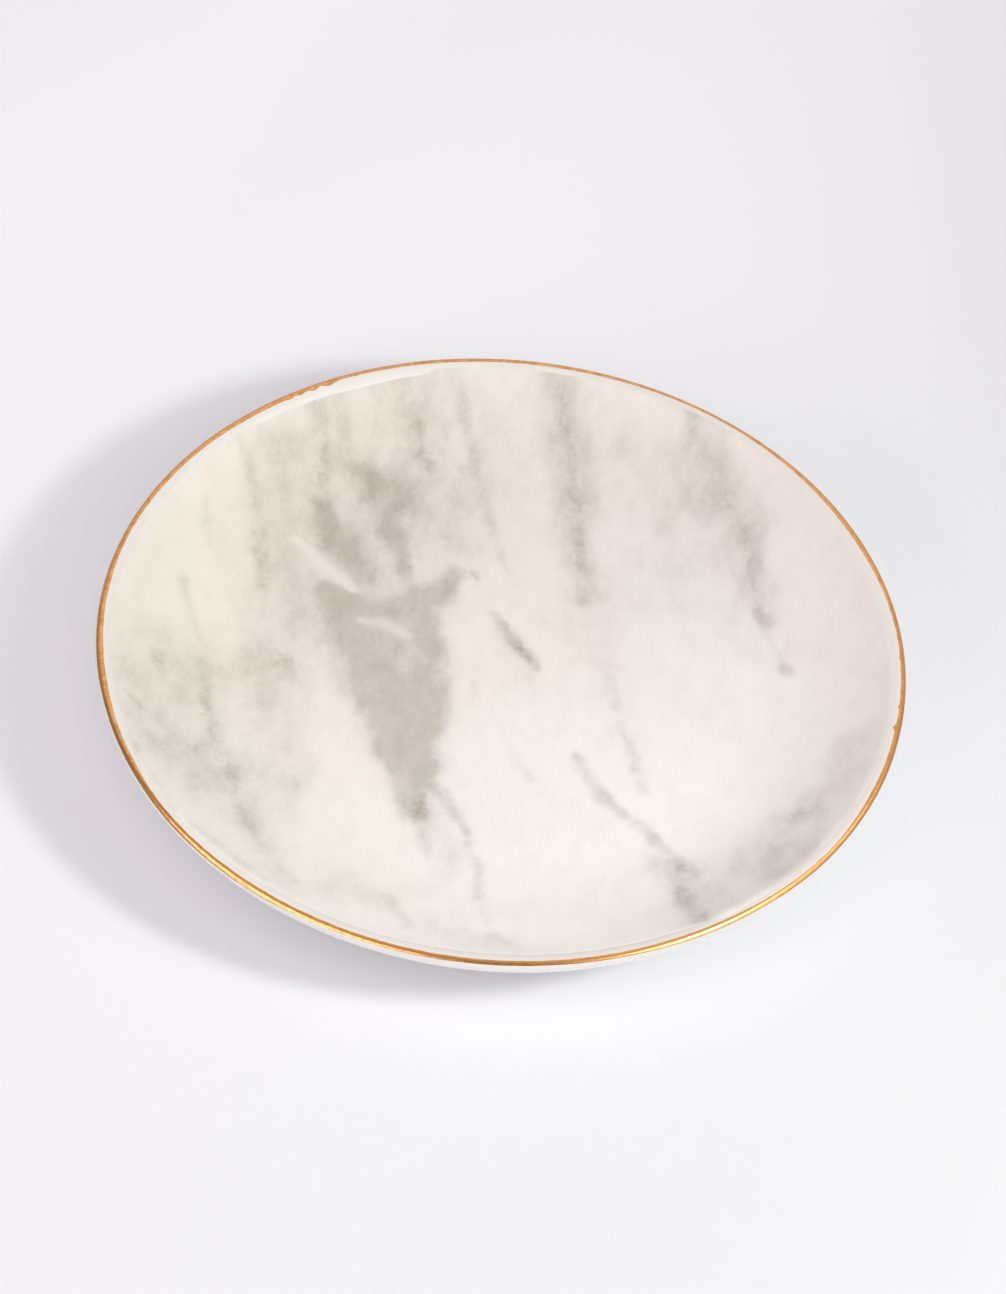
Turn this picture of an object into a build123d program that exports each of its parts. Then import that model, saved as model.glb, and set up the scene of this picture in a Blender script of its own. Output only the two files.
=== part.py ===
# A small round ring dish in white glazed pottery: a shallow bowl on a foot ring, with a
# marble print fired onto the inside and a line of gold painted over the lip.
# The dish is drawn as the potter makes it. The bare clay comes first, the glaze covers it
# all but where it stands, and the print and the gold lie on the glaze.
# Millimetres and degrees. +Z is up, and the origin is on the table at the dish's centre.

from build123d import *

import os
from math import cos, radians, sin, tan

# Outside of the glazed dish
rim_radius = 60.0
height = 17.0
lip_outer_round = 0.9
outer_rim_angle = 66.0
shoulder_curve = 11.0
shoulder_angle = 36.0
outer_foot_angle = 6.0

# Inside of the glazed dish
lip_inner_round = 3.0
inner_rim_angle = 33.0
floor_angle = 3.0

# Foot ring and floor, in bare clay
foot_height = 4.4
foot_setback = 2.0
foot_width = 3.2
foot_draft_angle = 10.0
foot_fillet = 1.6
foot_round = 0.7
footwell_depth = 4.0
floor_thickness = 4.2

# Coats on the clay
glaze_thickness = 0.3
glaze_line = 0.9
print_thickness = 0.15
print_border = 2.0
gold_thickness = 0.15
gold_drop = 0.22
gold_flat_count = 24

# What every cut runs past the dish
overrun = 5.0

# Half a turn in degrees
half_turn = 180.0

# The clay, one glaze thickness inside the finished surface
clay_rim_radius = rim_radius - glaze_thickness
clay_height = height - glaze_thickness
clay_lip_outer_round = lip_outer_round - glaze_thickness
clay_lip_inner_round = lip_inner_round - glaze_thickness
clay_shoulder_curve = shoulder_curve - glaze_thickness
crest_radius = clay_rim_radius - clay_lip_outer_round
floor_height = footwell_depth + floor_thickness


def sine(angle):
    """The sine of an angle in degrees."""
    return sin(radians(angle))


def cosine(angle):
    """The cosine of an angle in degrees."""
    return cos(radians(angle))


def tangent(angle):
    """The tangent of an angle in degrees."""
    return tan(radians(angle))


def inner_wall_curve():
    """The radius of the inside wall that runs from the lip to a floor of the right height."""
    lip_fall = clay_lip_inner_round * (1 - cosine(inner_rim_angle))
    lip_foot = crest_radius - clay_lip_inner_round * sine(inner_rim_angle)
    floor_rise = tangent(floor_angle / 2)
    fall = clay_height - floor_height - lip_fall - lip_foot * floor_rise
    wall_fall = cosine(floor_angle) - cosine(inner_rim_angle)
    wall_reach = sine(inner_rim_angle) - sine(floor_angle)
    return fall / (wall_fall - wall_reach * floor_rise)


def outer_wall_curve():
    """The radius of the outside wall that runs from the shoulder to a foot of the right height."""
    lip_fall = clay_lip_outer_round * (1 + cosine(outer_rim_angle))
    shoulder_fall = clay_shoulder_curve * (cosine(shoulder_angle) - cosine(outer_rim_angle))
    underside_fall = foot_setback * tangent(outer_foot_angle)
    fall = clay_height - foot_height - lip_fall - shoulder_fall - underside_fall
    return fall / (cosine(outer_foot_angle) - cosine(shoulder_angle))


def inside_lines():
    """The clay's inside from the crest of the lip down the wall and over the floor."""
    crest = (crest_radius, clay_height)
    lip = JernArc(crest, (-1, 0), clay_lip_inner_round, inner_rim_angle)
    wall = JernArc(lip @ 1, lip % 1, inner_wall_curve(), floor_angle - inner_rim_angle)
    floor_curve = (wall @ 1).X / sine(floor_angle)
    floor = JernArc(wall @ 1, wall % 1, floor_curve, -floor_angle)
    return [lip, wall, floor]


def outside_lines():
    """The clay's outside from the crest of the lip over the shoulder to the foot ring."""
    crest = (crest_radius, clay_height)
    lip = JernArc(crest, (1, 0), clay_lip_outer_round, outer_rim_angle - half_turn)
    shoulder_turn = shoulder_angle - outer_rim_angle
    shoulder = JernArc(lip @ 1, lip % 1, clay_shoulder_curve, shoulder_turn)
    wall_turn = outer_foot_angle - shoulder_angle
    wall = JernArc(shoulder @ 1, shoulder % 1, outer_wall_curve(), wall_turn)
    fall = foot_setback * tangent(outer_foot_angle)
    underside = Line(wall @ 1, wall @ 1 - Vector(foot_setback, fall))
    return [lip, shoulder, wall, underside]


def foot_corners():
    """The foot ring's corners: under the wall, at both sides of the table, in the footwell."""
    outer_top = outside_lines()[-1] @ 1
    outer_bottom = Vector(outer_top.X - foot_height * tangent(foot_draft_angle), 0)
    inner_bottom = outer_bottom - Vector(foot_width, 0)
    inner_lean = footwell_depth * tangent(foot_draft_angle)
    inner_top = inner_bottom + Vector(-inner_lean, footwell_depth)
    return [outer_top, outer_bottom, inner_bottom, inner_top]


def round_corner(section, corner, radius):
    """Round the one corner of a section that lies at a given point."""
    return fillet(section.vertices().sort_by_distance(corner)[0], radius)


def clay_section():
    """Half the clay's section, from the axis outwards."""
    inside = inside_lines()
    outside = outside_lines()
    outer_top, outer_bottom, inner_bottom, inner_top = foot_corners()
    footwell_centre = Vector(0, footwell_depth)
    foot = Polyline(outer_top, outer_bottom, inner_bottom, inner_top, footwell_centre)
    axis = Line(footwell_centre, inside[-1] @ 1)
    section = make_face(Curve() + inside + outside + foot + axis)
    section = round_corner(section, outer_top, foot_fillet)
    section = round_corner(section, outer_bottom, foot_round)
    section = round_corner(section, inner_bottom, foot_round)
    return round_corner(section, inner_top, foot_fillet)


def bowl_section():
    """The space inside the dish, over the clay and on up past the lip."""
    inside = inside_lines()
    crest = inside[0] @ 0
    top = height + overrun
    over = Polyline(crest, (crest.X, top), (0, top), inside[-1] @ 1)
    return make_face(Curve() + inside + over)


def window(inner, outer, low, high):
    """A rectangle of the section between two radii and two heights."""
    corner = (Align.MIN, Align.MIN)
    return Pos(inner, low) * Rectangle(outer - inner, high - low, align=corner)


def swell(section, thickness):
    """A section with its surface moved outwards, cut off at the axis."""
    right_of_axis = window(0, rim_radius + overrun, -overrun, height + overrun)
    return offset(section, thickness) & right_of_axis


def glaze_sections(clay):
    """The glaze on the dish and the glaze in the footwell, which the bare foot ring parts."""
    coat = swell(clay, glaze_thickness) - clay
    outer_top, outer_bottom, inner_bottom, inner_top = foot_corners()
    foot_middle = (outer_bottom.X + inner_bottom.X) / 2
    floor_middle = footwell_depth + floor_thickness / 2
    footwell = window(0, foot_middle, glaze_line, floor_middle)
    below_floor = window(0, foot_middle, -overrun, floor_middle)
    bare_foot = window(foot_middle, outer_top.X + overrun, -overrun, glaze_line)
    return coat - below_floor - bare_foot, coat & footwell


def print_section(clay):
    """The marble print, on the glaze of the floor and wall as far as its border."""
    glazed = swell(clay, glaze_thickness)
    film = swell(clay, glaze_thickness + print_thickness) - glazed
    printed = window(0, rim_radius - print_border, 0, height + overrun)
    return film & bowl_section() & printed


def gold_section():
    """The gold line, brushed on from the crest of the lip outwards in narrow flats."""
    lip = Pos(crest_radius, height - lip_outer_round) * Rot(Z=half_turn / gold_flat_count)
    outside_round = lip_outer_round + gold_thickness
    outside = lip * RegularPolygon(outside_round, gold_flat_count, major_radius=False)
    inside = lip * RegularPolygon(lip_outer_round, gold_flat_count, major_radius=False)
    low = height - gold_drop
    painted = window(crest_radius, rim_radius + overrun, low, height + overrun)
    return (outside - inside) & painted


def turned(section):
    """The solid that a section makes when it is turned about the dish's axis."""
    return revolve(Plane.XZ * section, Axis.Z)


def dish():
    """Every piece of the dish by name."""
    clay = clay_section()
    white_glaze, footwell_glaze = glaze_sections(clay)
    return {
        "clay_body": turned(clay),
        "white_glaze": turned(white_glaze),
        "footwell_glaze": turned(footwell_glaze),
        "marble_transfer": turned(print_section(clay)),
        "gold_line": turned(gold_section()),
    }


os.makedirs("parts", exist_ok=True)
for name, solid in dish().items():
    export_step(solid, f"parts/{name}.step")
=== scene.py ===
from math import asin, atan2, cos, degrees, pi, radians, sin, sqrt

import bmesh
import bpy
import numpy as np
from mathutils import Matrix, Vector, noise


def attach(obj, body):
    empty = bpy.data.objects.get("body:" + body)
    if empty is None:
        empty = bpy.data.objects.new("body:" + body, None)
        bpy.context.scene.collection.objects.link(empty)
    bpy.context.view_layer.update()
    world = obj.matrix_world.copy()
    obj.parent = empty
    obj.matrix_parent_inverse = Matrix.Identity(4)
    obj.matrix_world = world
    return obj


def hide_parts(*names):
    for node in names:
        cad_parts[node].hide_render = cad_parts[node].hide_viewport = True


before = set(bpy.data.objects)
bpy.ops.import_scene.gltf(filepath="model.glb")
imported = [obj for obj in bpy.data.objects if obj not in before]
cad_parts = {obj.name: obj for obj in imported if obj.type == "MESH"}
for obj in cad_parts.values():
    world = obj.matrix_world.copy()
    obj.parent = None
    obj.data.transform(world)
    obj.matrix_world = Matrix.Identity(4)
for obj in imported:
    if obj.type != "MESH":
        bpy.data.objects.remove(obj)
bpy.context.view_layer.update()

mm = 0.001
full_turn = 2 * pi

# Equal sectors that a turned shape is put together from
sectors = 18

# Shape of the glazed dish, as the CAD model has it
rim_radius = 59.97 * mm
height = 17 * mm
lip_outer_round = 0.87 * mm
lip_inner_round = 3 * mm
outer_rim_angle = 66
shoulder_curve = 11 * mm
shoulder_angle = 36
outer_wall_curve = 37.7 * mm
outer_foot_angle = 6
inner_rim_angle = 33
inner_wall_curve = 44.27 * mm
floor_angle = 3
underside_length = 0.8 * mm
foot_fillet = 1.3 * mm
foot_draft_angle = 10
glaze_line = 0.9 * mm
glaze_thickness = 0.28 * mm
crest_radius = rim_radius - lip_outer_round

# Films on the glaze: how proud the print and the gold lie, and how deep the print is bedded
print_film = 0.03 * mm
print_sink = 0.12 * mm
gold_film = 0.022 * mm

# Steps along the glaze's profile
lip_steps = 14
inner_wall_steps = 24
floor_steps = 12
shoulder_steps = 10
outer_wall_steps = 14
foot_fillet_steps = 8

# Cuts along the print's profile, whose outer share carries the border
print_border_share = 0.2
print_inner_cuts = 89
print_border_cuts = 27
print_under_cuts = 27

# Sides of the gold's profile
gold_profile_sides = 32

# Steps once round the dish
glaze_steps_round = 288
print_steps_round = 540
gold_steps_round = 1080

# Points nearer than the first are merged, and folds sharper than the second stay sharp
merge_distance = 0.001 * mm
sharp_angle = 40


def azimuth_of(point):
    """Where a point lies round the dish: 0 is nearest the camera, 90 is at the right."""
    return degrees(atan2(point.x, -point.y))


def between(table, azimuth):
    """A value read from a table of (azimuth, value) rows that runs once round the dish."""
    last_azimuth, last_value = table[-1]
    previous = (last_azimuth - 360, last_value)
    for row in table + [(table[0][0] + 360, table[0][1])]:
        if azimuth <= row[0]:
            share = (azimuth - previous[0]) / (row[0] - previous[0])
            share = share * share * (3 - 2 * share)
            return previous[1] + (row[1] - previous[1]) * share
        previous = row


def inside_surface(radius):
    """The height of the glazed inside at a radius, and the slope there in radians."""
    rim_slope = radians(inner_rim_angle)
    floor_slope = radians(floor_angle)
    lip_foot = crest_radius - lip_inner_round * sin(rim_slope)
    if radius > lip_foot:
        slope = asin(min((crest_radius - radius) / lip_inner_round, 1))
        return height - lip_inner_round * (1 - cos(slope)), slope
    lip_foot_height = height - lip_inner_round * (1 - cos(rim_slope))
    wall_foot = lip_foot - inner_wall_curve * (sin(rim_slope) - sin(floor_slope))
    if radius > wall_foot:
        slope = asin((radius - wall_foot) / inner_wall_curve + sin(floor_slope))
        return lip_foot_height - inner_wall_curve * (cos(slope) - cos(rim_slope)), slope
    wall_foot_height = lip_foot_height - inner_wall_curve * (cos(floor_slope) - cos(rim_slope))
    floor_curve = wall_foot / sin(floor_slope)
    slope = asin(radius / floor_curve)
    return wall_foot_height - floor_curve * (cos(slope) - cos(floor_slope)), slope


def lip_surface(travel):
    """The radius and height on the lip at a way along it outwards from its crest, and the angle
    that its face leans out from level there."""
    if travel > 0:
        lean = travel / lip_outer_round
        return (crest_radius + lip_outer_round * sin(lean),
                height - lip_outer_round * (1 - cos(lean)), lean)
    lean = travel / lip_inner_round
    return (crest_radius + lip_inner_round * sin(lean),
            height - lip_inner_round * (1 - cos(lean)), lean)


def travel_to_radius(radius):
    """The way along the lip from its crest to a radius on its top."""
    reach = radius - crest_radius
    curve = lip_outer_round if reach > 0 else lip_inner_round
    return curve * asin(reach / curve)


def draw_arc(shape, end, heading, curve, turn, steps):
    """Carries a profile on along an arc, and returns its new end and heading.
    Headings and turns are in degrees, and a turn to the left is positive."""
    side = 1 if turn > 0 else -1
    left = Vector((-sin(radians(heading)), 0, cos(radians(heading))))
    made = bmesh.ops.spin(shape, geom=[end], cent=end.co + left * curve * side,
                          axis=(0, -1, 0), dvec=(0, 0, 0), angle=radians(turn), steps=steps)
    last = [item for item in made["geom_last"] if isinstance(item, bmesh.types.BMVert)][0]
    return last, heading + turn


def draw_line(shape, end, heading, length):
    """Carries a profile straight on and returns its new end."""
    made = bmesh.ops.extrude_vert_indiv(shape, verts=[end])
    made["verts"][0].co += Vector((cos(radians(heading)), 0, sin(radians(heading)))) * length
    return made["verts"][0]


def turn_profile(shape, steps):
    """Turns a profile in the XZ plane once round the Z axis, a sector at a time, and closes it."""
    sector = full_turn / sectors
    bmesh.ops.spin(shape, geom=shape.verts[:] + shape.edges[:], cent=(0, 0, 0), axis=(0, 0, 1),
                   dvec=(0, 0, 0), angle=sector, steps=steps // sectors)
    bmesh.ops.spin(shape, geom=shape.verts[:] + shape.edges[:] + shape.faces[:], cent=(0, 0, 0),
                   axis=(0, 0, 1), dvec=(0, 0, 0), angle=full_turn - sector, steps=sectors - 1,
                   use_duplicate=True)
    bmesh.ops.remove_doubles(shape, verts=shape.verts[:], dist=merge_distance)
    bmesh.ops.recalc_face_normals(shape, faces=shape.faces[:])


def finish_piece(shape, name, node, material):
    """Makes a piece of a shape, in the place of a CAD node, and gives it its finish."""
    mesh = bpy.data.meshes.new(name)
    shape.to_mesh(mesh)
    shape.free()
    for face in mesh.polygons:
        face.use_smooth = True
    mesh.set_sharp_from_angle(angle=radians(sharp_angle))
    mesh.materials.append(material)
    piece = bpy.data.objects.new(name, mesh)
    bpy.context.scene.collection.objects.link(piece)
    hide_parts(node)
    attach(piece, "root")
    return piece


def make_white_glaze(material):
    """The glaze over the inside, the lip and the outside down to the bare foot."""
    shape = bmesh.new()
    crest = shape.verts.new((crest_radius, 0, height))
    wall_turn = floor_angle - inner_rim_angle
    end, heading = draw_arc(shape, crest, 180, lip_inner_round, inner_rim_angle, lip_steps)
    end, heading = draw_arc(shape, end, heading, inner_wall_curve, wall_turn, inner_wall_steps)
    floor_curve = end.co.x / sin(radians(floor_angle))
    draw_arc(shape, end, heading, floor_curve, -floor_angle, floor_steps)

    lip_turn = outer_rim_angle - 180
    shoulder_turn = shoulder_angle - outer_rim_angle
    wall_turn = outer_foot_angle - shoulder_angle
    foot_turn = 90 - outer_foot_angle - foot_draft_angle
    end, heading = draw_arc(shape, crest, 0, lip_outer_round, lip_turn, lip_steps)
    end, heading = draw_arc(shape, end, heading, shoulder_curve, shoulder_turn, shoulder_steps)
    end, heading = draw_arc(shape, end, heading, outer_wall_curve, wall_turn, outer_wall_steps)
    end = draw_line(shape, end, heading, underside_length)
    end, heading = draw_arc(shape, end, heading, foot_fillet, foot_turn, foot_fillet_steps)
    foot_wall = (end.co.z - glaze_line) / cos(radians(foot_draft_angle))
    draw_line(shape, end, heading, foot_wall)

    turn_profile(shape, glaze_steps_round)
    bmesh.ops.solidify(shape, geom=shape.faces[:], thickness=glaze_thickness)
    bmesh.ops.recalc_face_normals(shape, faces=shape.faces[:])
    finish_piece(shape, "white_glaze_coat", "white_glaze", material)


# The print's border: how far its edge lies in from the rim, in millimetres, by azimuth
print_border = [(-180, 2.2), (-166, 2.2), (-162, 2.9), (-151, 3.1), (-146, 2.9), (-136, 2.8),
                (-130, 2.35), (-100, 2.2), (-90, 1.95), (-80, 1.85), (-76, 2.25), (-66, 2.3),
                (-62, 1.6), (-50, 1.35), (-45, 1.45), (-32, 1.8), (-28, 2.15), (0, 2.2),
                (28, 2.15), (33, 1.9), (36, 1.3), (46, 1.4), (54, 1.8), (90, 1.85), (120, 1.9),
                (140, 2.0), (155, 1.85), (165, 2.2)]
border_waver = 0.05
border_waver_bends = 14

# How far in from the rim the print's evenly spaced faces end, before its border is drawn
print_even_margin = 2 * mm


def print_edge(azimuth):
    """The print's outer radius at an azimuth."""
    turn = radians(azimuth)
    place = Vector((cos(turn), sin(turn), 0)) * border_waver_bends
    border = between(print_border, azimuth) + border_waver * noise.noise(place)
    return rim_radius - border * mm


def once_for_each(work):
    """Keeps what a function of the azimuth gives, so that it is worked out once."""
    kept = {}

    def look_up(azimuth):
        key = round(azimuth, 3)
        if key not in kept:
            kept[key] = work(azimuth)
        return kept[key]
    return look_up


def make_marble_print(material):
    """The marble print, a thin film laid on the glaze of the floor and wall."""
    # The profile at unit size, from 1 above to 1 below and as far as 1 out from the axis
    shape = bmesh.new()
    start = shape.verts.new((0, 0, 1))
    inner = draw_line(shape, start, 0, 1 - print_border_share)
    top = draw_line(shape, inner, 0, print_border_share)
    under = draw_line(shape, top, 270, 2)
    draw_line(shape, under, 180, 1)
    edges = shape.edges[:]
    for edge, cuts in ((edges[0], print_inner_cuts), (edges[1], print_border_cuts),
                       (edges[3], print_under_cuts)):
        bmesh.ops.subdivide_edges(shape, edges=[edge], cuts=cuts)
    turn_profile(shape, print_steps_round)
    lay_print(shape)
    bmesh.ops.recalc_face_normals(shape, faces=shape.faces[:])
    piece = finish_piece(shape, "marble_print", "marble_transfer", material)
    paint_veins(piece.data)


def lay_print(shape):
    """Lays the turned unit profile of the print on the glaze, out to its wavering border."""
    even_edge = rim_radius - print_even_margin
    edge_at = once_for_each(print_edge)
    for point in shape.verts:
        share = sqrt(point.co.x ** 2 + point.co.y ** 2)
        azimuth = azimuth_of(point.co)
        border = max(share - (1 - print_border_share), 0) / print_border_share
        radius = share * even_edge + (edge_at(azimuth) - even_edge) * border
        level, slope = inside_surface(radius)
        lift = print_film if point.co.z > 0 else -print_sink
        turn = radians(azimuth)
        reach = radius - lift * sin(slope)
        point.co = Vector((reach * sin(turn), -reach * cos(turn), level + lift * cos(slope)))


# The gold line's inner edge, in millimetres in from the rim, by azimuth
gold_inner = [(-180, 1.22), (-160, 1.2), (-149.5, 1.15), (-147.5, 1.6), (-146.2, 1.2),
              (-145, 1.6), (-143.8, 1.25), (-142.5, 1.55), (-141.8, 1.3), (-141, 1.55),
              (-139.5, 1.35), (-137, 1.38), (-120, 1.17), (-100, 1.03), (-90, 1.1), (-75, 1.25),
              (-60, 1.02), (-50, 0.76), (-45, 0.77), (-30, 0.86), (-20, 0.9), (0, 0.86),
              (30, 0.93), (55, 0.58), (70, 0.85), (80, 0.93), (81, 1.3), (82, 0.93),
              (84.6, 0.93), (85, 1.15), (85.4, 0.93), (94.2, 0.93), (94.5, 1.2), (94.8, 0.92),
              (100, 0.9), (120, 1.22), (150, 1.03)]

# The gold line's lower edge, as the angle that it stays above the lip's widest circle
gold_lower = [(-180, 25), (-150, 25), (-120, 28), (-90, 31), (-80, 36), (-70, 41), (-60, 33),
              (-45, 17), (-30, 24), (-20, 35), (-10, 37), (0, 40), (15, 42), (40, 28), (55, 7),
              (70, 12), (80, 28), (90, 34), (105, 33), (140, 28)]
gold_waver = 0.035

# Bends of the gold's edges round the dish: the inner edge's slow and quick ones, the lower's
inner_slow_bends = 30
inner_quick_bends = 90
quick_bends_share = 0.6
lower_bends = 24
lower_bends_start = Vector((0, 0, 5))


def gold_edges(azimuth):
    """The ways along the lip from its crest to the gold's inner and lower edges."""
    turn = radians(azimuth)
    place = Vector((cos(turn), sin(turn), 0))
    quick = noise.noise(place * inner_quick_bends)
    waver = gold_waver * (noise.noise(place * inner_slow_bends) + quick_bends_share * quick)
    inner = travel_to_radius(rim_radius - (between(gold_inner, azimuth) + waver) * mm)
    waver = gold_waver * noise.noise(place * lower_bends + lower_bends_start)
    lower_lean = radians(90 - between(gold_lower, azimuth))
    return inner, lower_lean * lip_outer_round + waver * mm


def make_gold_line(material):
    """The gold line, a thin film brushed over the lip with wavering edges."""
    # The profile at unit size, a circle that reaches from 1 to 2 out from the axis
    shape = bmesh.new()
    upright = Matrix.Translation((1.5, 0, 0)) @ Matrix.Rotation(pi / 2, 4, "X")
    bmesh.ops.create_circle(shape, segments=gold_profile_sides, radius=0.5, matrix=upright)
    turn_profile(shape, gold_steps_round)
    lay_gold(shape)
    bmesh.ops.recalc_face_normals(shape, faces=shape.faces[:])
    finish_piece(shape, "gold_rim", "gold_line", material)


def lay_gold(shape):
    """Lays the turned unit circle of the gold over the lip, between its wavering edges."""
    edges_at = once_for_each(gold_edges)
    for point in shape.verts:
        share = sqrt(point.co.x ** 2 + point.co.y ** 2) - 1
        azimuth = azimuth_of(point.co)
        inner, lower = edges_at(azimuth)
        radius, level, lean = lip_surface(inner + (lower - inner) * share)
        lift = gold_film * point.co.z * 2
        turn = radians(azimuth)
        reach = radius + lift * sin(lean)
        point.co = Vector((reach * sin(turn), -reach * cos(turn), level + lift * cos(lean)))


def colour(red, green, blue):
    """A colour given as the screen shows it, from 0 to 255, in Blender's linear light."""
    def linear(value):
        value = value / 255
        return value / 12.92 if value <= 0.04045 else ((value + 0.055) / 1.055) ** 2.4
    return (linear(red), linear(green), linear(blue), 1)


def add(tree, kind, inputs=(), **settings):
    """Adds a node, sets what it is told, and fills its inputs with values or links."""
    node = tree.nodes.new(kind)
    for name, value in settings.items():
        setattr(node, name, value)
    for key, value in dict(inputs).items():
        if isinstance(value, bpy.types.NodeSocket):
            tree.links.new(value, node.inputs[key])
        else:
            node.inputs[key].default_value = value
    return node


def calc(tree, operation, first, second=0.0, clamp=False):
    """Adds a Math node and returns its output."""
    node = add(tree, "ShaderNodeMath", {0: first, 1: second}, operation=operation, use_clamp=clamp)
    return node.outputs[0]


def vector_calc(tree, operation, first, second):
    """Adds a Vector Math node and returns its vector output."""
    node = add(tree, "ShaderNodeVectorMath", {0: first, 1: second}, operation=operation)
    return node.outputs[0]


def ramp(tree, value, low, high, start=0.0, end=1.0):
    """Turns a value's range into another, smoothly, and returns the output."""
    inputs = {"Value": value, "From Min": low, "From Max": high, "To Min": start, "To Max": end}
    return add(tree, "ShaderNodeMapRange", inputs, interpolation_type="SMOOTHSTEP").outputs[0]


def blend_colours(tree, share, first, second):
    """Mixes two colours by a share and returns the colour."""
    node = add(tree, "ShaderNodeMix", {0: share, 6: first, 7: second}, data_type="RGBA")
    return node.outputs[2]


def clouds(tree, place, pattern):
    """Adds a Noise texture of a pattern and returns its value."""
    scale, detail, rough = pattern
    inputs = {"Vector": place, "Scale": scale, "Detail": detail, "Roughness": rough}
    return add(tree, "ShaderNodeTexNoise", inputs).outputs["Fac"]


def new_group(name, inputs, outputs):
    """Starts a shader group, and returns it with its input and output nodes."""
    group = bpy.data.node_groups.new(name, "ShaderNodeTree")
    for way, sockets in (("INPUT", inputs), ("OUTPUT", outputs)):
        for socket, kind in sockets:
            group.interface.new_socket(socket, in_out=way, socket_type="NodeSocket" + kind)
    return group, group.nodes.new("NodeGroupInput"), group.nodes.new("NodeGroupOutput")


# Patterns of noise, as (scale, layers, roughness), with the scale in cycles to the millimetre
glaze_swell = (0.09, 2.0, 0.55)
glaze_skin = (1.6, 3.0, 0.55)
glaze_patches = (0.12, 4.0, 0.55)
vein_grain = (0.3, 6.0, 0.62)
vein_specks = (1.3, 4.0, 0.75)
gold_streaks = (1.1, 4.0, 0.6)
gold_wear = (3.2, 3.0, 0.65)
clay_grain = (2.4, 5.0, 0.7)
clay_patches = (0.18, 3.0, 0.55)

# Middle of a pattern's values
middle_tone = 0.5


def make_unevenness_group():
    """The group for glaze that isn't quite even: a slow swell and a fine skin."""
    inputs = [("Place", "Vector"), ("Swell", "Float"), ("Skin", "Float")]
    group, given, result = new_group("glaze_unevenness", inputs, [("Height", "Float")])
    place = given.outputs["Place"]
    swell = calc(group, "MULTIPLY", clouds(group, place, glaze_swell), given.outputs["Swell"])
    skin = calc(group, "MULTIPLY", clouds(group, place, glaze_skin), given.outputs["Skin"])
    group.links.new(calc(group, "ADD", swell, skin), result.inputs["Height"])
    return group


def new_material(name):
    """Starts a material, and returns it with its tree, its shader and its place in millimetres."""
    material = bpy.data.materials.new(name)
    material.use_nodes = True
    tree = material.node_tree
    shader = tree.nodes["Principled BSDF"]
    place = add(tree, "ShaderNodeTexCoord").outputs["Object"]
    scaled = add(tree, "ShaderNodeMapping", {"Vector": place, "Scale": (1 / mm, 1 / mm, 1 / mm)})
    return material, tree, shader, scaled.outputs[0]


def bump(tree, shader, height_value, strength, depth):
    """Feeds a height to the shader's normal through a Bump node."""
    inputs = {"Strength": strength, "Distance": depth, "Height": height_value}
    tree.links.new(add(tree, "ShaderNodeBump", inputs).outputs[0], shader.inputs["Normal"])


def uneven_glaze(tree, shader, place, unevenness, skin_share, strength):
    """Gives a glazed finish the shared unevenness, with its own share of skin and strength."""
    inputs = {"Place": place, "Swell": 1.0, "Skin": skin_share}
    height_value = add(tree, "ShaderNodeGroup", inputs, node_tree=unevenness).outputs["Height"]
    bump(tree, shader, height_value, strength, glaze_bump_depth)


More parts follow.
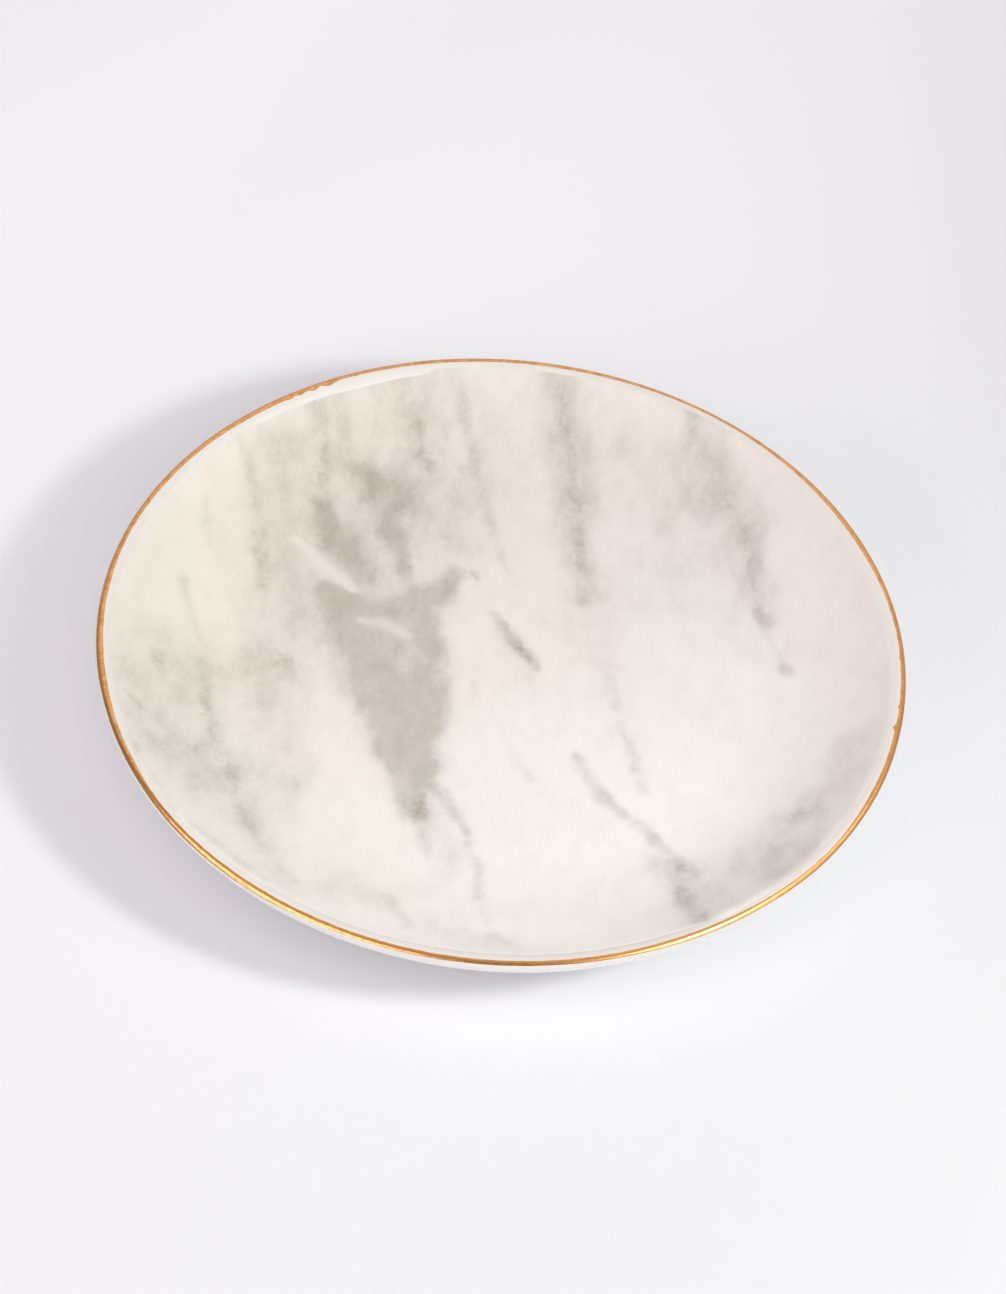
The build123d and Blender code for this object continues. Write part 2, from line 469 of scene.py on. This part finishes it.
# Veins of the marble, as (strength, run ...), each run point being (x, y, half width) in
# millimetres on the dish seen from above. x is to the right and y away from the camera.
wide_veins = [
    (0.95, (-27, 12, 2.4), (-24.2, 8, 3.8), (-19.4, 0, 4.4), (-15.6, -9, 4.2), (-13, -17, 3.4)),
    (0.8, (-13, -17, 3.2), (-11, -24, 2.4), (-10, -28, 1.6)),
    (0.85, (-12.4, 9, 2.2), (-11.4, 3, 2.8), (-10, -5, 2.8), (-8.8, -10, 2.2)),
    (0.75, (-26, 12.6, 1.6), (-21, 10.6, 2.0), (-18, 9, 2.0)),
    (0.35, (-18, 11, 2.0), (-13, 14, 2.0)),
    (0.7, (-12, -8, 3.6), (-11, -16, 3.0), (-9.6, -21, 2.2)),
    (0.78, (-30.4, 29, 1.4), (-28, 25, 2.3), (-25, 20.6, 2.6), (-22.4, 17.4, 1.7)),
    (0.7, (-24.6, 37, 2.0), (-21, 33.6, 2.8), (-19.6, 29, 1.9), (-18, 24.5, 1.4)),
    (0.66, (-18, 24.5, 1.3), (-16.4, 19, 1.0)),
    (0.4, (-16.4, 19, 1.1), (-14.4, 12.5, 1.3)),
    (0.5, (-18, 37, 1.8), (-16.6, 33, 2.2)),
    (0.75, (-13, 13, 2.2), (-11, 15.4, 2.2), (-8.4, 19.6, 1.3)),
    (0.38, (-31, 46, 6.0), (-27, 36, 7.4), (-24, 26, 7.4), (-20, 14, 7.0), (-17, 4, 6.0)),
    (0.36, (-38, 36, 5.0), (-36, 22, 7.0), (-34, 8, 7.0), (-34, -4, 6.0)),
    (0.36, (-20, 52, 5.0), (-14, 40, 7.0), (-9, 26, 6.0)),
    (0.22, (-14, 55, 4.0), (-6, 50, 5.0), (-4, 38, 4.0)),
    (0.5, (4, 57, 3.4), (6.4, 47, 3.6), (9, 35, 3.2), (10.6, 24, 2.6), (12.4, 17.5, 2.2)),
    (0.42, (27, 51, 2.6), (29, 42, 4.0), (35, 33, 4.4), (38, 20, 2.6)),
    (0.3, (16, 46, 8.0), (26, 36, 9.0)),
    # The next two strokes, on the near right wall, are partly the print's haze and partly painted
    # shade of that wall
    (0.42, (26, -34, 2.6), (33, -38, 5.6), (42, -36, 6.0)),
    (0.38, (43, -30, 5.0), (49, -20, 4.0), (53, -10, 3.6)),
    (0.35, (29, -40, 2.6), (32, -47, 3.6)),
    (0.26, (-43, -6, 3.4), (-38, -6, 3.4), (-33, -4, 3.0)),
    (0.3, (-32, -12, 4.6), (-28, -26, 4.2)),
    (0.36, (-50, -4, 5.0), (-45, -14, 5.6), (-38, -26, 5.6), (-31, -38, 4.4)),
    (0.3, (-8, -28, 3.6), (-4, -37, 3.6)),
    (0.2, (14.6, 8, 3.2), (17, -4, 3.0), (20, -14, 2.6)),
    (0.34, (-54, -12, 3.0), (-50, -24, 4.4), (-42, -30, 4.4)),
    (0.28, (-18, -44, 4.0), (-10, -50, 3.6), (4, -55, 4.0)),
    (0.24, (-30, -46, 3.4), (-22, -50, 3.4)),
    (0.2, (1, 4, 3.0), (4, 0, 3.0)),
    (0.42, (-1, 11, 0.8), (0.6, 8.6, 1.1), (2.6, 5.9, 1.4), (4.2, 4.0, 1.0)),
    (0.22, (10, 12, 5.0), (24, 22, 7.0), (44, 10, 6.0)),
]
fine_veins = [
    (0.7, (-5.6, 19.8, 0.7), (-5.3, 19.4, 0.7)),
    (0.35, (-32.5, 46, 1.2), (-31, 38, 1.4), (-30.3, 30, 1.5)),
    (0.5, (-18.5, 49, 1.4), (-16, 43, 1.4), (-15, 40, 1.2)),
    (0.4, (-44, 37, 1.2), (-41.5, 32, 1.3), (-39.6, 26, 1.0)),
    (0.5, (-38.6, 21, 1.6), (-37, 12, 1.6)),
    (0.4, (-11, 54, 1.0), (-9.6, 49, 1.2), (-6.8, 42, 1.1), (-5, 34, 1.0), (-2.6, 27, 1.0),
     (-0.6, 21, 0.7)),
    (0.28, (4.6, 56, 1.2), (6.2, 50, 1.6), (7.8, 43, 1.6)),
    (0.38, (9.2, 36, 1.5), (9.8, 31, 1.7), (10.4, 24, 1.4)),
    (0.35, (25.6, 51.5, 1.2), (27.4, 47, 1.2)),
    (0.4, (32, 38, 1.4), (35, 33, 1.8), (36.8, 27, 1.6), (37.6, 20, 1.2)),
    (0.75, (38.2, 17.2, 1.2), (39.5, 15, 1.4)),
    (0.4, (40, 12, 0.8), (41.6, 8, 0.8)),
    (0.9, (42.4, 6.0, 1.0), (43.0, 5.2, 1.0)),
    (0.62, (-1.9, 12.2, 0.8), (0.6, 8.6, 1.2), (2.4, 6.2, 1.7), (4, 4.4, 1.4), (5.8, 2.2, 0.6)),
    (0.6, (12.4, -14, 0.8), (14, -17, 1.4), (16.6, -21.6, 1.2)),
    (0.66, (16.6, -21.6, 1.0), (19.5, -24.4, 1.0), (22.5, -26.4, 1.4), (24.6, -28.8, 1.0)),
    (0.6, (24.6, -28.8, 0.9), (28, -33, 1.2), (30, -36, 1.6)),
    (0.6, (28.6, -40, 1.4), (30.2, -44, 2.0), (31.4, -47.6, 2.0)),
    (0.6, (44.5, -24.5, 1.8), (46.5, -25, 2.2)),
    (0.35, (15.5, 8, 1.3), (16.4, 2, 1.4), (17.5, -4, 1.1)),
    (0.5, (18.5, -7, 1.0), (20.5, -13, 1.1), (22.6, -20, 0.9)),
    (0.4, (-3.5, -2.6, 1.2), (-3.6, -6, 1.0)),
    (0.3, (0.6, -9.4, 1.0), (3.6, -15.4, 1.0), (6.2, -19.6, 1.2)),
    (0.4, (-48.6, 9, 1.0), (-47, 4, 1.0), (-45.4, -0.6, 0.9)),
    (0.3, (-47.5, 25, 1.0), (-46, 17, 0.9)),
    (0.4, (-51, -6.6, 1.2), (-48.6, -12, 1.0)),
    (0.5, (-53.4, -16.8, 0.9), (-51, -18.8, 1.0)),
    (0.4, (-49.4, -24, 1.2), (-48, -25, 1.2)),
    (0.42, (-43.4, -9, 1.5), (-42.4, -14, 1.6), (-41, -18, 1.4)),
    (0.4, (-45, -22.6, 1.4), (-41.5, -23.2, 1.3)),
    (0.45, (-39.6, -20.5, 1.4), (-37.8, -25, 1.6), (-36.2, -30, 1.7)),
    (0.4, (-35.2, -33, 1.2), (-32.4, -38, 1.5), (-30.4, -41.5, 1.5)),
    (0.42, (-31.9, -1.8, 1.4), (-31.2, -2.8, 1.3)),
    (0.36, (-28.2, -24.6, 1.3), (-27.4, -26, 1.2)),
    (0.35, (-28, -44, 0.9), (-25.4, -47, 0.9)),
    (0.42, (-12.4, -46.6, 1.4), (-10.4, -49.6, 1.4), (-8.6, -52.4, 1.1)),
    (0.4, (-51, -27, 0.6), (-47.9, -32.3, 0.9), (-45.7, -35.7, 0.9), (-43.3, -39, 0.7)),
    (0.4, (-41, -40.6, 0.6), (-38.1, -42.4, 1.0), (-33.3, -45.9, 1.0), (-29.2, -48.6, 0.7)),
    (0.5, (-2, -33, 0.8), (-0.4, -37, 0.9), (0.6, -43, 1.1), (2, -49, 1.0)),
    (0.5, (2.6, -52.6, 1.6), (4.6, -54.2, 1.4)),
    (0.6, (-9.6, -26, 1.2), (-9, -31, 1.2), (-7.6, -36, 0.9)),
    (0.7, (-7.4, -23, 1.2), (-4.6, -27.4, 1.2), (-2.2, -31, 0.8)),
]
light_streaks = [
    (0.95, (-33, 22.4, 0.6), (-28, 18, 1.5), (-25.4, 15.6, 1.5), (-23, 14.2, 0.7)),
    (0.65, (-21.6, 8.2, 0.9), (-18, 7.8, 1.6), (-14.4, 6, 1.1)),
    (0.4, (-13.6, 3.4, 0.8), (-11.6, 1.2, 0.8)),
]

# How the veins are bent, as (size of a bend, reach) in millimetres and the bends' place in the
# noise: the wide veins and light streaks slowly, the fine veins raggedly
slow_bends = (7, 0.9, 3)
ragged_bends = (1.8, 0.4, 8)
bend_layers = 3

# Seed of the noise that bends the veins
bend_seed = 1795999214

# How a vein fades across: with this, it is half as strong at its half width as in its middle
vein_fade = 0.7

# How each set of veins is inked, as (reach of the grain, mask where the ink starts, mask where
# it is full, share of ink there)
vein_inking = {
    "wide_veins": (0.9, 0.02, 0.88, 0.56),
    "fine_veins": (1.6, 0.05, 0.95, 0.4),
    "light_streaks": (2.2, 0.05, 1.05, 0.8),
}

# Grain where there is no vein, as a share of the grain in a full one
least_grain_share = 0.05


def vein_mask(places, veins):
    """How strongly some veins cover each place, from 0 to 1, as soft strokes laid over each
    other."""
    bare = np.ones(len(places))
    for strength, *points in veins:
        stroke = np.zeros(len(places))
        for (x, y, width), (next_x, next_y, next_width) in zip(points, points[1:]):
            start, run = np.array((x, y)), np.array((next_x - x, next_y - y))
            along = np.clip((places - start) @ run / (run @ run), 0, 1)
            away = np.linalg.norm(places - start - along[:, None] * run, axis=1)
            share = away / (width + (next_width - width) * along)
            stroke = np.maximum(stroke, np.exp(-vein_fade * share ** 2))
        bare *= 1 - strength * stroke
    return 1 - bare


def bent_places(points, bends):
    """Points of the dish in millimetres, each shifted about as some bends say."""
    noise.seed_set(bend_seed)
    size, reach, turn = bends
    shifted = []
    for point in points:
        place = Vector((point.x, point.y, 0)) / mm
        bend = place / size + Vector((0, 0, turn))
        shifted.append((place + noise.turbulence_vector(bend, bend_layers, False) * reach)[:2])
    return np.array(shifted)


def paint_veins(mesh):
    """Lays the veins on the print's mesh as attributes that its material reads."""
    points = [vertex.co for vertex in mesh.vertices]
    slow = bent_places(points, slow_bends)
    ragged = bent_places(points, ragged_bends)
    masks = {
        "wide_veins": vein_mask(slow, wide_veins),
        "fine_veins": vein_mask(ragged, fine_veins),
        "light_streaks": vein_mask(slow, light_streaks),
    }
    for name, mask in masks.items():
        attribute = mesh.attributes.new(name, "FLOAT", "POINT")
        attribute.data.foreach_set("value", mask.astype(np.float32))


def inked(tree, name, grain):
    """Reads a mask painted on the mesh, roughens it most where it is strong, and inks it."""
    reach, low, high, ink_share = vein_inking[name]
    mask = add(tree, "ShaderNodeAttribute", attribute_name=name).outputs["Fac"]
    share = calc(tree, "MULTIPLY", calc(tree, "ADD", mask, least_grain_share), reach)
    rough = calc(tree, "ADD", mask, calc(tree, "MULTIPLY", grain, share))
    return ramp(tree, rough, low, high, 0.0, ink_share)


# Colours of the marble print: its ground at the left, at the right, nearer the camera, in a
# cooler pool in front of the middle and beside the near border, and its ink. The ground nearer
# the camera and beside the near border is paler as painted light on the near wall, and the
# ground at the right is pinker and also darker as painted shade
ground_left = colour(243, 236, 224)
ground_right_pink_and_shaded = colour(233, 226, 220)
ground_painted_light_near = colour(249, 243, 235)
ground_pool = colour(241, 237, 232)
ground_painted_light_at_border = colour(255, 250, 243)
ink_left = colour(161, 154, 140)
ink_right = colour(166, 157, 149)

# How the marble changes over the dish, as (place where a change starts, place where it is full,
# share at the start, share when full), in millimetres to the right and away from the camera
left_to_right = (-50.0, 45.0, 0.0, 1.0)
# Painted shade: the print darkens from its near wall towards its far side
painted_shade_from_front = (-58.0, -25.0, 0.0, 0.14)
painted_shade_behind = (-10.0, 50.0, 0.0, 0.12)
# Painted light: the ground pales towards the camera, and most beside the near border
painted_light_towards_camera = (-5.0, -30.0, 0.0, 0.5)
painted_light_by_border = (-44.0, -54.0, 0.0, 0.7)

# The pool's middle, and its reach from there
pool_middle = (12, -27, 0)
pool_ground = (32.0, 12.0, 0.0, 0.9)

# How the grain tones the wide veins, and how it mottles the ground, over the grain's values
grain_tone = (-0.3, 0.3, 0.86, 1.08)
mottle_tone = (-0.1, 0.2, 0.0, 0.07)

# How the drawn grain of the marble is turned and drawn out, and how strong its specks are
grain_turn = -20
grain_stretch = (1, 0.6, 1)
speck_share = 0.6

# Finish of the print and of the glaze
print_roughness = 0.3
print_skin_share = 0.06
print_bump_strength = 0.25
glaze_roughness = 0.12
glaze_skin_share = 0.05
glaze_bump_strength = 0.3
glaze_bump_depth = 0.12 * mm
glaze_index = 1.5


def marble_grain(tree, flat):
    """The marble's drawn grain, and the same grain with specks, both about zero."""
    turned = {"Vector": flat, "Rotation": (0, 0, radians(grain_turn)), "Scale": grain_stretch}
    along = add(tree, "ShaderNodeMapping", turned).outputs[0]
    drawn = calc(tree, "SUBTRACT", clouds(tree, along, vein_grain), middle_tone)
    specks = calc(tree, "SUBTRACT", clouds(tree, flat, vein_specks), middle_tone)
    return drawn, calc(tree, "ADD", drawn, calc(tree, "MULTIPLY", specks, speck_share))


def marble_shade(tree, across, drawn, grain):
    """How much ink lies on the marble: its veins and streaks, a mottle, and a wide painted shade
    that darkens the print away from the camera.
    """
    wide = inked(tree, "wide_veins", grain)
    wide = calc(tree, "MULTIPLY", wide, ramp(tree, grain, *grain_tone))
    veins = calc(tree, "ADD", wide, inked(tree, "fine_veins", grain))
    clear = calc(tree, "SUBTRACT", 1.0, inked(tree, "light_streaks", grain))
    veins = calc(tree, "MULTIPLY", veins, clear)
    # Painted shade: more ink further from the camera
    painted_far_shade = calc(tree, "ADD", ramp(tree, across["Y"], *painted_shade_from_front),
                      ramp(tree, across["Y"], *painted_shade_behind))
    mottled = calc(tree, "ADD", veins, ramp(tree, drawn, *mottle_tone))
    return calc(tree, "ADD", mottled, painted_far_shade, clamp=True)


def marble_ground(tree, flat, across):
    """The marble's warm white between its veins, with painted shade at the right and painted light
    towards the camera.
    """
    # The ground turns pinker to the right, and darker there as painted shade
    rightness = ramp(tree, across["X"], *left_to_right)
    ground = blend_colours(tree, rightness, ground_left, ground_right_pink_and_shaded)
    # Painted light: the ground pales towards the camera and beside the near border
    ground = blend_colours(tree, ramp(tree, across["Y"], *painted_light_towards_camera), ground, ground_painted_light_near)
    pool = add(tree, "ShaderNodeVectorMath", {0: flat, 1: pool_middle}, operation="DISTANCE")
    poolness = ramp(tree, pool.outputs["Value"], *pool_ground)
    ground = blend_colours(tree, poolness, ground, ground_pool)
    return blend_colours(tree, ramp(tree, across["Y"], *painted_light_by_border), ground, ground_painted_light_at_border)


def make_marble_material(unevenness):
    """The marble print: soft grey veins and clouds on a warm white, under a satin glaze."""
    material, tree, shader, place = new_material("marble_print")
    flat = vector_calc(tree, "MULTIPLY", place, (1, 1, 0))
    across = add(tree, "ShaderNodeSeparateXYZ", {0: flat}).outputs
    drawn, grain = marble_grain(tree, flat)
    shade = marble_shade(tree, across, drawn, grain)
    ink = blend_colours(tree, ramp(tree, across["X"], *left_to_right), ink_left, ink_right)
    mixed = blend_colours(tree, shade, marble_ground(tree, flat, across), ink)
    tree.links.new(mixed, shader.inputs["Base Color"])
    shader.inputs["Roughness"].default_value = print_roughness
    shader.inputs["IOR"].default_value = glaze_index
    uneven_glaze(tree, shader, place, unevenness, print_skin_share, print_bump_strength)
    return material


# Colours of the glaze: at the left of the rim; at the right, darker as painted shade; where it is
# thin; and under the lip, paler as painted light on the outside
glaze_left = colour(230, 227, 219)
glaze_right_painted_shade = colour(213, 206, 198)
glaze_thin = colour(214, 205, 196)
glaze_below_painted_light = colour(242, 240, 242)

# Where the glaze changes, as for the marble, and over which heights it changes under the lip
glaze_left_to_right = (-50.0, 50.0, 0.0, 1.0)
glaze_down_the_lip = (16.5, 15.5, 0.0, 1.0)
thin_tone = (0.35, 0.7, 0.0, 0.3)


def make_glaze_material(unevenness):
    """White glaze: glossy, a little warm and not quite even, with painted shade at the right and
    painted light below the lip.
    """
    material, tree, shader, place = new_material("white_glaze")
    across = add(tree, "ShaderNodeSeparateXYZ", {0: place}).outputs
    # Painted shade: the glaze darkens towards the right
    rightness = ramp(tree, across["X"], *glaze_left_to_right)
    mixed = blend_colours(tree, rightness, glaze_left, glaze_right_painted_shade)
    thinness = ramp(tree, clouds(tree, place, glaze_patches), *thin_tone)
    mixed = blend_colours(tree, thinness, mixed, glaze_thin)
    # Painted light: the glaze is paler on the outside below the lip
    lowness = ramp(tree, across["Z"], *glaze_down_the_lip)
    mixed = blend_colours(tree, lowness, mixed, glaze_below_painted_light)
    tree.links.new(mixed, shader.inputs["Base Color"])
    shader.inputs["Roughness"].default_value = glaze_roughness
    shader.inputs["IOR"].default_value = glaze_index
    uneven_glaze(tree, shader, place, unevenness, glaze_skin_share, glaze_bump_strength)
    return material


# Colours of the gold lustre, and of the specks where it is worn thin
gold_bright = colour(197, 148, 93)
gold_deep = colour(180, 125, 70)
gold_worn = colour(150, 92, 44)

# How the brush strokes of the gold lie, and what their tones give
stroke_stretch = (1, 1, 5)
stroke_tone = (0.35, 0.7, 0.0, 1.0)
wear_tone = (0.69, 0.73, 0.0, 1.0)
gold_roughness = (0.3, 0.75, 0.16, 0.34)
worn_roughness = 0.3
gold_bump_strength = 0.35
gold_bump_depth = 0.05 * mm


def make_gold_material():
    """Fired gold lustre: bright and brushed, and worn in specks."""
    material, tree, shader, place = new_material("gold_lustre")
    brushed = vector_calc(tree, "MULTIPLY", place, stroke_stretch)
    streaks = clouds(tree, brushed, gold_streaks)
    lustre = blend_colours(tree, ramp(tree, streaks, *stroke_tone), gold_bright, gold_deep)
    worn = ramp(tree, clouds(tree, place, gold_wear), *wear_tone)
    mixed = blend_colours(tree, worn, lustre, gold_worn)
    tree.links.new(mixed, shader.inputs["Base Color"])
    shader.inputs["Metallic"].default_value = 1.0
    rough = ramp(tree, streaks, *gold_roughness)
    rough = calc(tree, "ADD", rough, calc(tree, "MULTIPLY", worn, worn_roughness))
    tree.links.new(rough, shader.inputs["Roughness"])
    bump(tree, shader, calc(tree, "SUBTRACT", streaks, worn), gold_bump_strength, gold_bump_depth)
    return material


# Colours and finish of the bare clay
clay_dark = colour(222, 210, 190)
clay_light = colour(236, 227, 211)
clay_tone = (0.35, 0.65, 0.0, 1.0)
clay_roughness = (0.2, 0.8, 0.75, 0.95)
clay_bump_strength = 0.5
clay_bump_depth = 0.08 * mm


def make_clay_material():
    """Bare fired clay: matt, cream, with a fine sandy grain."""
    material, tree, shader, place = new_material("fired_clay")
    grain = clouds(tree, place, clay_grain)
    patches = clouds(tree, place, clay_patches)
    tone = calc(tree, "MULTIPLY", calc(tree, "ADD", grain, patches), middle_tone)
    mixed = blend_colours(tree, ramp(tree, tone, *clay_tone), clay_dark, clay_light)
    tree.links.new(mixed, shader.inputs["Base Color"])
    tree.links.new(ramp(tree, grain, *clay_roughness), shader.inputs["Roughness"])
    bump(tree, shader, grain, clay_bump_strength, clay_bump_depth)
    return material


# Camera, where the photograph was taken from
camera_lens = 100
camera_distance = 532.5 * mm
camera_elevation = 48.15
camera_roll = 6.134
camera_aim = Vector((0.07 * mm, 0.09 * mm, 15 * mm))


def make_camera():
    """The camera, at the photograph's height and tilt."""
    data = bpy.data.cameras.new("camera")
    data.lens = camera_lens
    camera = bpy.data.objects.new("camera", data)
    bpy.context.scene.collection.objects.link(camera)
    rise = radians(camera_elevation)
    back = Vector((0, -cos(rise), sin(rise)))
    turn = (-back).to_track_quat("-Z", "Y").to_matrix().to_4x4()
    roll = Matrix.Rotation(radians(camera_roll), 4, "Z")
    camera.matrix_world = Matrix.Translation(camera_aim + back * camera_distance) @ turn @ roll
    bpy.context.scene.camera = camera


# The key light stands near the dish, at the right and nearer the camera. It is a small bright
# disk in the middle of a wide dim one, each given as (name, width, power).
key_place = Vector((232, -134, 253)) * mm
key_disks = [("key", 58 * mm, 0.58), ("key_surround", 210 * mm, 0.21)]
key_colour = (0.93, 1.0, 0.97)

# The room's light comes softly from above the camera, from low at the left and from a white
# backdrop. What the glaze and the gold mirror is two reflectors beside the camera, a pale
# ceiling and the same backdrop.
# Each light is (direction, cosine at its edge, cosine where it is full, strength).
# Walls are (strength at the table's level, strength overhead), and reach the second where the
# sine of the rise is walls_full_rise.
room_colour = (1.0, 0.955, 0.99, 1)
walls_full_rise = 0.7
room_walls = (0.13, 0.2)
room_lights = [((-0.1, -0.66, 0.74), 0.72, 0.98, 1.7),
               ((-0.71, -0.6, 0.37), 0.8, 0.94, 0.8),
               ((0.1, 0.93, 0.36), 0.3, 0.95, 0.45)]
mirrored_walls = (0.45, 0.45)
mirrored_lights = [((-0.63, -0.57, 0.52), 0.8, 0.9, 3.2),
                   ((0.84, -0.22, 0.5), 0.71, 0.91, 1.8),
                   ((0.0, 0.34, 0.94), 0.75, 0.95, 0.4),
                   ((0.1, 0.93, 0.36), 0.3, 0.95, 0.7)]


def make_key():
    """The soft lamp that casts the dish's shadow."""
    for name, width, power in key_disks:
        data = bpy.data.lights.new(name, "AREA")
        data.shape = "DISK"
        data.size = width
        data.energy = power
        data.color = key_colour
        disk = bpy.data.objects.new(name, data)
        bpy.context.scene.collection.objects.link(disk)
        disk.location = key_place
        disk.rotation_mode = "QUATERNION"
        disk.rotation_quaternion = key_place.to_track_quat("Z", "Y")


def towards(tree, way, place):
    """How near a direction lies to that of a place in the room, as the cosine between them."""
    node = add(tree, "ShaderNodeVectorMath", {0: way, 1: Vector(place).normalized()},
               operation="DOT_PRODUCT")
    return node.outputs["Value"]


def glow(tree, way, walls, lights):
    """How brightly the room shines from one direction, with its lights and its dim walls."""
    up = add(tree, "ShaderNodeSeparateXYZ", {0: way}).outputs["Z"]
    level = ramp(tree, up, 0.0, walls_full_rise, *walls)
    for place, edge, full, strength in lights:
        one = ramp(tree, towards(tree, way, place), edge, full, 0.0, strength)
        level = calc(tree, "ADD", level, one)
    return level


def make_room():
    """The room round the dish, which its glaze and its gold mirror more softly than it shines."""
    world = bpy.data.worlds.new("room")
    bpy.context.scene.world = world
    world.use_nodes = True
    tree = world.node_tree
    way = add(tree, "ShaderNodeTexCoord").outputs["Generated"]
    mirrored = add(tree, "ShaderNodeLightPath").outputs["Is Glossy Ray"]
    shining = glow(tree, way, room_walls, room_lights)
    seen = glow(tree, way, mirrored_walls, mirrored_lights)
    change = calc(tree, "SUBTRACT", seen, shining)
    level = calc(tree, "ADD", shining, calc(tree, "MULTIPLY", mirrored, change))
    tree.links.new(level, tree.nodes["Background"].inputs["Strength"])
    tree.nodes["Background"].inputs["Color"].default_value = room_colour


# Tones of the pale table, which even out the lamp: as it is, where the lamp is strongest, and
# far from the lamp
table_pale = colour(249, 248, 249)
table_by_lamp = colour(215, 214, 215)
table_far_off = colour(255, 254, 255)

# The way in which the table nears the lamp: to the right, and towards the camera as far as
# near_end. Behind far_start it falls away faster, by the third number too. In millimetres.
lamp_way = (0.85, -0.35, -0.2)
near_end = -45.0
far_start = 60.0

# Where the tones change along that way, as (place where a change starts, place where it is
# full, share at the start, share when full) in millimetres
by_lamp = (-90.0, 98.0, 0.0, 1.0)
far_off = (-85.0, -125.0, 0.0, 1.0)

# Close round the dish the tone by the lamp is weaker, as painted light that lifts the dish's shade
# on the table: round which place, and how far from it
beside_middle = (0, 20, 0)
painted_light_beside_dish = (54.0, 74.0, 0.65, 1.0)

table_roughness = 0.9
table_specular = 0.1
table_half_width = 1500 * mm


def table_tone(tree, place):
    """The table's colour, from the place on it."""
    across = add(tree, "ShaderNodeSeparateXYZ", {0: place}).outputs
    near = calc(tree, "MAXIMUM", across["Y"], near_end)
    far = calc(tree, "MAXIMUM", calc(tree, "SUBTRACT", across["Y"], far_start), 0.0)
    bent = add(tree, "ShaderNodeCombineXYZ", {0: across["X"], 1: near, 2: far}).outputs[0]
    along = add(tree, "ShaderNodeVectorMath", {0: bent, 1: lamp_way}, operation="DOT_PRODUCT")
    away = add(tree, "ShaderNodeVectorMath", {0: place, 1: beside_middle}, operation="DISTANCE")
    # Painted light: the table is paler close round the dish
    lampness = calc(tree, "MULTIPLY", ramp(tree, along.outputs["Value"], *by_lamp),
                    ramp(tree, away.outputs["Value"], *painted_light_beside_dish))
    dimness = ramp(tree, along.outputs["Value"], *far_off)
    pale = blend_colours(tree, dimness, table_pale, table_far_off)
    return blend_colours(tree, lampness, pale, table_by_lamp)


def make_floor():
    """The pale table that the dish stands on."""
    material, tree, shader, place = new_material("floor")
    tree.links.new(table_tone(tree, place), shader.inputs["Base Color"])
    shader.inputs["Roughness"].default_value = table_roughness
    shader.inputs["Specular IOR Level"].default_value = table_specular
    shape = bmesh.new()
    bmesh.ops.create_grid(shape, x_segments=1, y_segments=1, size=table_half_width)
    mesh = bpy.data.meshes.new("floor")
    shape.to_mesh(mesh)
    shape.free()
    mesh.materials.append(material)
    floor = bpy.data.objects.new("floor", mesh)
    bpy.context.scene.collection.objects.link(floor)


make_camera()
make_key()
make_room()
make_floor()

unevenness_group = make_unevenness_group()
glaze_finish = make_glaze_material(unevenness_group)
make_white_glaze(glaze_finish)
make_marble_print(make_marble_material(unevenness_group))
make_gold_line(make_gold_material())

for name, finish in (("clay_body", make_clay_material()), ("footwell_glaze", glaze_finish)):
    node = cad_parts[name]
    node.data.materials.clear()
    node.data.materials.append(finish)

bpy.context.scene.view_settings.view_transform = "Standard"
